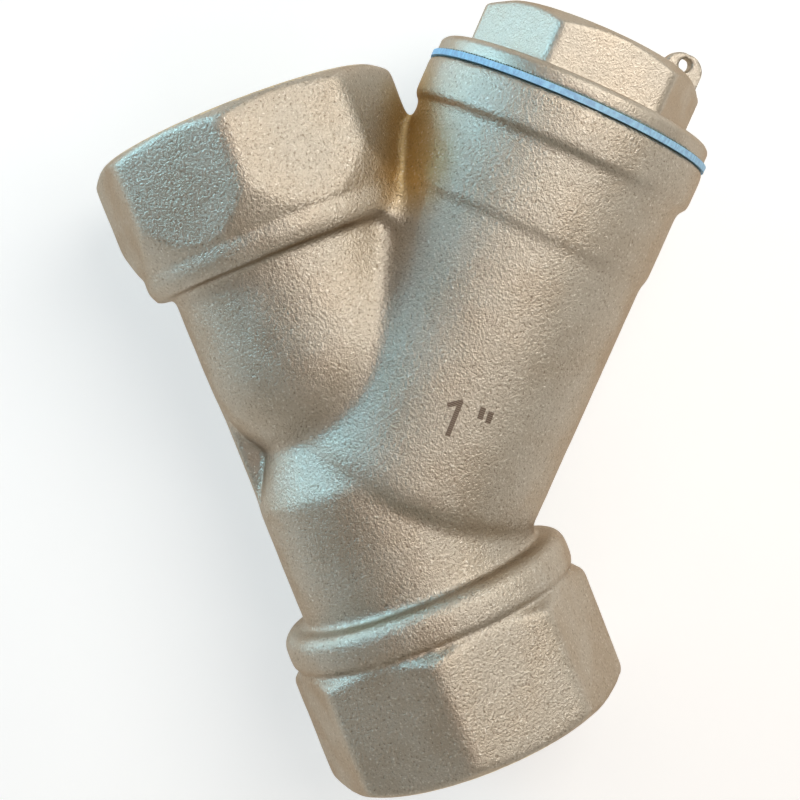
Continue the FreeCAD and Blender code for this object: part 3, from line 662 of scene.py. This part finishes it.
def forged_share(point, normal):
    """1 on the forged outer skin, 0 on faces that are cut after forging."""
    height, off_branch = on_branch(point)
    off_pipe = Vector((0, point.y, point.z))
    between_ends = END_MARGIN < point.x < PIPE_LENGTH - END_MARGIN
    if abs(normal.x) > FACING_AN_END and not between_ends:
        return 0.0
    if height > BRANCH_MOUTH - END_MARGIN and off_branch.length < MOUTH_FACE:
        return 0.0
    at_port = min(point.x, PIPE_LENGTH - point.x) < CHAMFER_REACH
    bore = PORT_RADIUS + (PORT_CHAMFER if at_port else 0.0) + PORT_MARGIN
    in_pipe = off_pipe.length < bore and normal.dot(off_pipe) < 0
    at_mouth = height > BRANCH_MOUTH - CHAMFER_REACH
    bore = CAP_BORE + (CAP_BORE_CHAMFER if at_mouth else CAP_BORE_MARGIN)
    in_branch = (off_branch.length < bore and height > CHAMBER_BEGINS
                 and normal.dot(off_branch) < 0)
    return 0.0 if in_pipe or in_branch else 1.0


def whole_share(point, normal):
    """1 on every face, so that the edges between cut and forged faces run true."""
    return 1.0


def waist_share(point, normal):
    """1 in the waist and at the crotch, where the dies leave wide fillets."""
    if not forged_share(point, normal):
        return 0.0
    off_branch = on_branch(point)[1]
    rise, fall = (step_between(point.x, *ends) for ends in (WAIST_RISES, WAIST_FALLS))
    waist = rise * (1 - fall)
    round_branch = 1 - step_between(off_branch.length, *BRANCH_SKIN)
    upper_side = Vector((point.x, point.y, abs(point.z)))
    nearest, share = intersect_point_line(upper_side, CROTCH_FOOT, CROTCH_TOP)
    if share < 0 or share > 1:
        nearest = CROTCH_FOOT if share < 0 else CROTCH_TOP
    crotch = 1 - step_between((upper_side - nearest).length, *CROTCH_REACH)
    return max(waist * (1 - round_branch * BRANCH_HOLD), crotch)


def soften_body(obj, sizes):
    """Melt the forged body's edges and lay slow waves on its skin."""
    remesh(obj, sizes.body_voxel)
    for share_at, rounds in ((whole_share, WHOLE_ROUNDS), (forged_share, FORGED_ROUNDS),
                             (waist_share, WAIST_ROUNDS)):
        with_modifier(obj, "SMOOTH", vertex_group=weigh(obj, share_at),
                      factor=SOFTENING, iterations=rounds)
        obj.vertex_groups.clear()
    places = []
    for vertex in obj.data.vertices:
        place, normal = vertex.co.copy(), vertex.normal
        if forged_share(place, normal):
            slow = sum(share * noise.noise(place * rate) for rate, share in WAVES)
            place += normal * slow * sizes.wave_height
        places.extend(place)
    obj.data.vertices.foreach_set("co", places)
    thin_out(obj, BODY_FACES)


def ridge(root, crest, pitch, start, finish, phase, limit, steps=40):
    """One helical thread ridge about Z, held to a radius limit at each height."""
    bm = bmesh.new()
    outward = 1 if crest > root else -1
    sunk = root - outward * THREAD_SINK
    corners = ((sunk, -THREAD_FOOT), (root, -THREAD_ROOT), (crest, -THREAD_CREST),
               (crest, THREAD_CREST), (root, THREAD_ROOT), (sunk, THREAD_FOOT))
    ring = [bm.verts.new((radius, 0, start + share * pitch))
            for radius, share in corners]
    edges = [bm.edges.new((one, two)) for one, two in zip(ring, ring[1:] + ring[:1])]
    turns = (finish - start) / pitch
    count = round(turns * steps)
    bmesh.ops.spin(bm, geom=ring + edges, cent=(0, 0, 0), axis=(0, 0, 1),
                   dvec=(0, 0, (finish - start) / count), angle=TURN * turns,
                   steps=count, use_merge=False)
    rim = [edge for edge in bm.edges if edge.is_boundary]
    bmesh.ops.holes_fill(bm, edges=rim, sides=0)
    bmesh.ops.rotate(bm, cent=(0, 0, 0), matrix=Matrix.Rotation(phase, 3, "Z"),
                     verts=bm.verts)
    for vertex in bm.verts:
        radius = vertex.co.xy.length
        held = limit(vertex.co.z, radius)
        vertex.co.x *= held / radius
        vertex.co.y *= held / radius
    bmesh.ops.recalc_face_normals(bm, faces=bm.faces)
    return bm


def riding(obj, body, slot, *nodes):
    """Tie a piece to its body and hide the nodes that it stands for; its slot is not
    used.
    """
    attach(obj, body)
    if nodes:
        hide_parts(*nodes)


def materials_for(names):
    """The finished materials of these names."""
    return [bpy.data.materials[name] for name in names]


def paint_node(node, material):
    """Give a CAD node one of the finishes."""
    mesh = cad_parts[node].data
    mesh.materials.clear()
    mesh.materials.append(bpy.data.materials[material])


def lay_thread(name, bm, placement, material, body, slot):
    """Lay a thread ridge in its place and tie it to its body."""
    bmesh.ops.transform(bm, matrix=placement, verts=bm.verts)
    riding(new_object(name, bm, materials_for([material])), body, slot)


# The woven mesh

def wire_section(bm, corners):
    """Join a wire section's corners in a ring and return its points and edges."""
    points = [bm.verts.new(corner) for corner in corners]
    pairs = zip(points, points[1:] + points[:1])
    return points + [bm.edges.new(pair) for pair in pairs]


def upright_wire(sizes, side):
    """One upright wire that starts on one side and passes over and under."""
    half = sizes.wire_width / 2
    rise = (SHEET_TOP - SHEET_BOTTOM) / sizes.wires_high
    bm = bmesh.new()
    grown = wire_section(bm, [(MESH_MIDDLE + (side + x) * half, y * half, SHEET_BOTTOM)
                              for x, y in WIRE_CORNERS])
    for _ in range(sizes.wires_high):
        edges = [part for part in grown if isinstance(part, bmesh.types.BMEdge)]
        grown = bmesh.ops.extrude_edge_only(bm, edges=edges)["geom"]
        side = -side
        points = [part for part in grown if isinstance(part, bmesh.types.BMVert)]
        bmesh.ops.translate(bm, verts=points, vec=(2 * side * half, 0, rise))
    ends = [edge for edge in bm.edges if edge.is_boundary]
    bmesh.ops.holes_fill(bm, edges=ends, sides=4)
    return bm


def round_wire(sizes, height, phase):
    """One wire that runs round the mesh and waves in and out at each upright wire."""
    half = sizes.wire_width / 2
    bm = bmesh.new()
    section = wire_section(bm, [(MESH_MIDDLE + x * half, 0, height + y * half)
                                for x, y in WIRE_CORNERS])
    bmesh.ops.spin(bm, geom=section, cent=(0, 0, 0), axis=(0, 0, 1), angle=TURN,
                   steps=sizes.wires_round, use_merge=True)
    for vertex in bm.verts:
        place = round(math.atan2(vertex.co.y, vertex.co.x) / TURN * sizes.wires_round)
        side = half if (place + phase) % 2 else -half
        stretch = 1 + side / vertex.co.xy.length
        vertex.co.x *= stretch
        vertex.co.y *= stretch
    return bm


def add_copies(bm, unit, placements):
    """Add a copy of a small bmesh at each placement."""
    mesh = bpy.data.meshes.new("unit")
    unit.to_mesh(mesh)
    unit.free()
    for placement in placements:
        placed = mesh.copy()
        placed.transform(placement)
        bm.from_mesh(placed)
        bpy.data.meshes.remove(placed)
    bpy.data.meshes.remove(mesh)


def weave(bm, sizes):
    """Weave the sleeve from upright wires and round wires that cross over and under."""
    step = TURN / sizes.wires_round
    rise = (SHEET_TOP - SHEET_BOTTOM) / sizes.wires_high
    for phase, side in ((0, -1), (1, 1)):
        add_copies(bm, upright_wire(sizes, side),
                   [Matrix.Rotation(step * (number + 0.5), 4, "Z")
                    for number in range(phase, sizes.wires_round, 2)])
        first = SHEET_BOTTOM + rise / 2
        add_copies(bm, round_wire(sizes, first, phase),
                   [Matrix.Translation((0, 0, rise * number))
                    for number in range(phase, sizes.wires_high, 2)])


# The lamps, the room and the camera

def hang_lamps():
    """Hang the soft lamps round the object."""
    for name, offset, width, power, colour in LAMPS:
        data = bpy.data.lights.new(name, "AREA")
        data.shape = "DISK"
        data.size = width
        data.energy = power
        data.color = colour
        lamp = bpy.data.objects.new(name, data)
        lamp.location = LAMP_MIDDLE + Vector(offset)
        lamp.rotation_mode = "QUATERNION"
        lamp.rotation_quaternion = (-Vector(offset)).to_track_quat("-Z", "Y")
        bpy.context.scene.collection.objects.link(lamp)


def light_world(scene):
    """Surround the object with a soft room that has a ceiling and a cool window."""
    world = bpy.data.worlds.new("studio")
    scene.world = world
    world.use_nodes = True
    tree = world.node_tree
    way = tree.nodes.new("ShaderNodeTexCoord").outputs["Generated"]
    room = ROOM_DIM
    for direction, ends, colour in ROOM_PARTS:
        share = ranged(tree, along_line(tree, way, direction), *ends)
        room = blended(tree, share, room, colour)
    background = tree.nodes["Background"]
    tree.links.new(room, background.inputs["Color"])
    background.inputs["Strength"].default_value = 1.0


def place_camera(scene):
    """Look at the object from the photograph's place."""
    data = bpy.data.cameras.new("camera")
    data.lens = CAMERA_LENS
    data.sensor_width = CAMERA_SENSOR
    data.clip_start = CAMERA_NEAR
    camera = bpy.data.objects.new("camera", data)
    turned = Matrix((CAMERA_ASIDE, CAMERA_UPWARD, CAMERA_BACKWARD)).transposed()
    camera.matrix_world = Matrix.Translation(CAMERA_PLACE) @ turned.to_4x4()
    scene.collection.objects.link(camera)
    scene.camera = camera


# Operators, one for each piece or group of like pieces

class STRAINER_OT_finishes(bpy.types.Operator):
    """Make the finishes that the pieces share"""

    bl_idname = "strainer.finishes"
    bl_label = "Finishes"

    def execute(self, context):
        colours = context.scene.strainer_colours
        blasted_grain()
        tool_marks()
        fibres()
        thin_plating()
        plated_brass("forged_skin", colours, grains=2900.0, roughness=0.34,
                     pit_depth=0.20 * MM, painted_fleck=0.65)
        plated_brass("cap_skin", colours, grains=3500.0, roughness=0.36,
                     pit_depth=0.12 * MM, painted_fleck=0.35)
        cut_brass("pipe_bore", colours, ALONG_PIPE, rings=3500.0)
        cut_brass("branch_bore", colours, ALONG, rings=3500.0)
        fibre_gasket(colours)
        rolled_steel("perforated_steel", colours, grains=1500.0, roughness=0.26)
        rolled_steel("woven_wire", colours, grains=4000.0, roughness=0.3)
        rolled_steel("collar_steel", colours, grains=1200.0, roughness=0.22)
        burnt_mark(colours)
        return {"FINISHED"}


class STRAINER_OT_forged_body(bpy.types.Operator):
    """Build the forged body with the soft edges that its dies leave"""

    bl_idname = "strainer.forged_body"
    bl_label = "Forged body"

    def execute(self, context):
        obj = copy_of_node("strainer_body", "forged_body")
        soften_body(obj, context.scene.strainer_sizes)
        finishes = ("forged_skin", "pipe_bore", "branch_bore")
        obj = worked_copy(obj, "strainer_body", finishes)
        for face in obj.data.polygons:
            if forged_share(face.center, face.normal):
                continue
            height, off_branch = on_branch(face.center)
            on_side = height > BRANCH_BEGINS and face.center.y < BRANCH_SIDE
            of_branch = on_side and off_branch.length < BRANCH_REACH
            face.material_index = finishes.index("branch_bore" if of_branch
                                                 else "pipe_bore")
        riding(obj, "valve_body", "forged_brass", "strainer_body")
        return {"FINISHED"}


class STRAINER_OT_threads(bpy.types.Operator):
    """Cut the pipe threads in both ports and the cap's thread in the branch"""

    bl_idname = "strainer.threads"
    bl_label = "Threads"

    def execute(self, context):
        sizes = context.scene.strainer_sizes

        def chamfered(mouth, way):
            """Fade the ridge into the mouth's chamfer, and out at its far end."""
            def limit(height, radius):
                inside = (height - mouth) * way
                least = PORT_RADIUS - (inside - PORT_CHAMFER) * THREAD_FADE
                return max(radius, min(least, PORT_RADIUS + THREAD_SINK))
            return limit

        outer, inner = PORT_RUN_OUT
        ports = (("inlet_thread", outer, INLET_THREAD - inner, chamfered(0, 1)),
                 ("outlet_thread", PIPE_LENGTH - OUTLET_THREAD + inner,
                  PIPE_LENGTH - outer, chamfered(PIPE_LENGTH, -1)))
        for name, start, finish, limit in ports:
            bm = ridge(PORT_RADIUS, sizes.port_crest, sizes.port_pitch,
                       start, finish, phase=0.0, limit=limit)
            lay_thread(name, bm, ON_PIPE, "pipe_bore", "valve_body", "forged_brass")

        def at_mouth(height, radius):
            """Fade the ridge into the chamfer of the branch's mouth."""
            inside = BRANCH_MOUTH - height - END_MARGIN
            return max(radius, min(CAP_BORE - inside * THREAD_FADE,
                                   CAP_BORE + THREAD_SINK))

        outer, inner = BORE_RUN_OUT
        bm = ridge(CAP_BORE, sizes.bore_crest, sizes.cap_pitch,
                   BRANCH_MOUTH - CAP_THREAD + inner, BRANCH_MOUTH - outer,
                   phase=0.0, limit=at_mouth, steps=CAP_THREAD_STEPS)
        lay_thread("branch_thread", bm, ON_BRANCH, "branch_bore",
                   "valve_body", "forged_brass")
        return {"FINISHED"}


class STRAINER_OT_screw_cap(bpy.types.Operator):
    """Build the cap with its broken edges, and the thread on its shank"""

    bl_idname = "strainer.screw_cap"
    bl_label = "Screw cap"

    def execute(self, context):
        sizes = context.scene.strainer_sizes
        obj = copy_of_node("cap", "hex_cap")
        remesh(obj, sizes.cap_voxel)
        with_modifier(obj, "SMOOTH", factor=SOFTENING, iterations=CAP_ROUNDS)
        thin_out(obj, CAP_FACES)
        finishes = ("cap_skin", "branch_bore")
        obj = worked_copy(obj, "cap", finishes)
        for face in obj.data.polygons:
            if on_branch(face.center)[0] < CAP_UNDER + CAP_UNDER_MARGIN:
                face.material_index = finishes.index("branch_bore")
        riding(obj, "screw_cap", "turned_brass", "cap")

        def at_end(height, radius):
            """Fade the ridge out at the shank's end."""
            inside = height - SHANK_END - END_MARGIN
            return min(radius, max(SHANK_RADIUS + inside * THREAD_FADE,
                                   SHANK_RADIUS - THREAD_SINK))

        outer, inner = SHANK_RUN_OUT
        bm = ridge(SHANK_RADIUS, sizes.shank_crest, sizes.cap_pitch,
                   BRANCH_MOUTH - CAP_THREAD + inner, BRANCH_MOUTH - outer,
                   phase=TURN / 2, limit=at_end, steps=CAP_THREAD_STEPS)
        lay_thread("cap_thread", bm, ON_BRANCH, "branch_bore",
                   "screw_cap", "turned_brass")
        return {"FINISHED"}


class STRAINER_OT_gasket(bpy.types.Operator):
    """Give the gasket its fibre finish"""

    bl_idname = "strainer.gasket"
    bl_label = "Gasket"

    def execute(self, context):
        paint_node("cap_gasket", "blue_fibre")
        return {"FINISHED"}


class STRAINER_OT_screen(bpy.types.Operator):
    """Finish the screen's sheet parts and weave its mesh"""

    bl_idname = "strainer.screen"
    bl_label = "Screen"

    def execute(self, context):
        sizes = context.scene.strainer_sizes
        paint_node("screen_tube", "perforated_steel")
        paint_node("upper_collar", "collar_steel")
        paint_node("lower_collar", "collar_steel")
        bm = bmesh.new()
        weave(bm, sizes)
        bmesh.ops.recalc_face_normals(bm, faces=bm.faces)
        bmesh.ops.transform(bm, matrix=ON_BRANCH, verts=bm.verts)
        obj = new_object("woven_mesh", bm, materials_for(["woven_wire"]))
        riding(obj, "screen", "woven_mesh", "mesh_sleeve")
        return {"FINISHED"}


class STRAINER_OT_size_mark(bpy.types.Operator):
    """Burn the pipe size, one inch, into the branch"""

    bl_idname = "strainer.size_mark"
    bl_label = "Size mark"

    def execute(self, context):
        lift = BRANCH_RADIUS + MARK_LIFT
        bm = bmesh.new()
        for begin, end, width in MARK_STROKES:
            begin, end = Vector(begin) * MM, Vector(end) * MM
            length = (end - begin).length
            lean = math.atan2(end.x - begin.x, end.y - begin.y)
            grid = bmesh.ops.create_grid(bm, x_segments=3, y_segments=8, size=0.5)
            made = grid["verts"]
            bmesh.ops.scale(bm, vec=(width * MM, length, 1), verts=made)
            bmesh.ops.rotate(bm, cent=(0, 0, 0), matrix=Matrix.Rotation(-lean, 3, "Z"),
                             verts=made)
            middle = (begin + end) / 2
            bmesh.ops.translate(bm, vec=(middle.x, middle.y, 0), verts=made)
        bmesh.ops.solidify(bm, geom=bm.faces, thickness=MARK_THICKNESS)
        for vertex in bm.verts:
            angle = vertex.co.x / BRANCH_RADIUS
            radius = lift + vertex.co.z
            vertex.co = (CROSSING + ALONG * vertex.co.y
                         + (UP * math.cos(angle) + ASIDE * math.sin(angle)) * radius)
        bmesh.ops.recalc_face_normals(bm, faces=bm.faces)
        obj = new_object("size_mark", bm, materials_for(["burnt_mark"]))
        riding(obj, "valve_body", "forged_brass")
        return {"FINISHED"}


class STRAINER_OT_stage(bpy.types.Operator):
    """Lay the floor, hang the lamps and place the camera"""

    bl_idname = "strainer.stage"
    bl_label = "Stage"

    def execute(self, context):
        scene = context.scene
        scene.view_settings.view_transform = "Standard"
        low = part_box("strainer_body")[0].z
        bm = bmesh.new()
        bmesh.ops.create_grid(bm, x_segments=8, y_segments=8, size=1.5)
        bmesh.ops.translate(bm, vec=(*FLOOR_CENTRE, low - FLOOR_GAP), verts=bm.verts)
        pale_floor(scene.strainer_colours)
        floor = new_object("floor", bm, materials_for(["pale_floor"]))
        hang_lamps()
        light_world(scene)
        place_camera(scene)
        return {"FINISHED"}


class STRAINER_PT_panel(bpy.types.Panel):
    """List the strainer's pieces in the sidebar"""

    bl_idname = "STRAINER_PT_panel"
    bl_label = "Mesh Strainer"
    bl_space_type = "VIEW_3D"
    bl_region_type = "UI"
    bl_category = "Strainer"

    def draw(self, context):
        layout = self.layout
        for operator in OPERATORS:
            layout.operator(operator.bl_idname)
        for group in (context.scene.strainer_sizes, context.scene.strainer_colours):
            for name in group.__annotations__:
                layout.prop(group, name)


OPERATORS = (STRAINER_OT_finishes, STRAINER_OT_forged_body, STRAINER_OT_threads,
             STRAINER_OT_screw_cap, STRAINER_OT_gasket, STRAINER_OT_screen,
             STRAINER_OT_size_mark, STRAINER_OT_stage)
CLASSES = (StrainerSizes, StrainerColours, *OPERATORS, STRAINER_PT_panel)


def register():
    """Register the classes and hang their settings on the scene."""
    for cls in CLASSES:
        bpy.utils.register_class(cls)
    bpy.types.Scene.strainer_sizes = PointerProperty(type=StrainerSizes)
    bpy.types.Scene.strainer_colours = PointerProperty(type=StrainerColours)


def unregister():
    """Take the classes and their settings away again."""
    del bpy.types.Scene.strainer_colours
    del bpy.types.Scene.strainer_sizes
    for cls in reversed(CLASSES):
        bpy.utils.unregister_class(cls)


def main():
    """Build every piece in order."""
    register()
    bpy.ops.strainer.finishes()
    bpy.ops.strainer.forged_body()
    bpy.ops.strainer.threads()
    bpy.ops.strainer.screw_cap()
    bpy.ops.strainer.gasket()
    bpy.ops.strainer.screen()
    bpy.ops.strainer.size_mark()
    bpy.ops.strainer.stage()


if __name__ == "__main__":
    main()
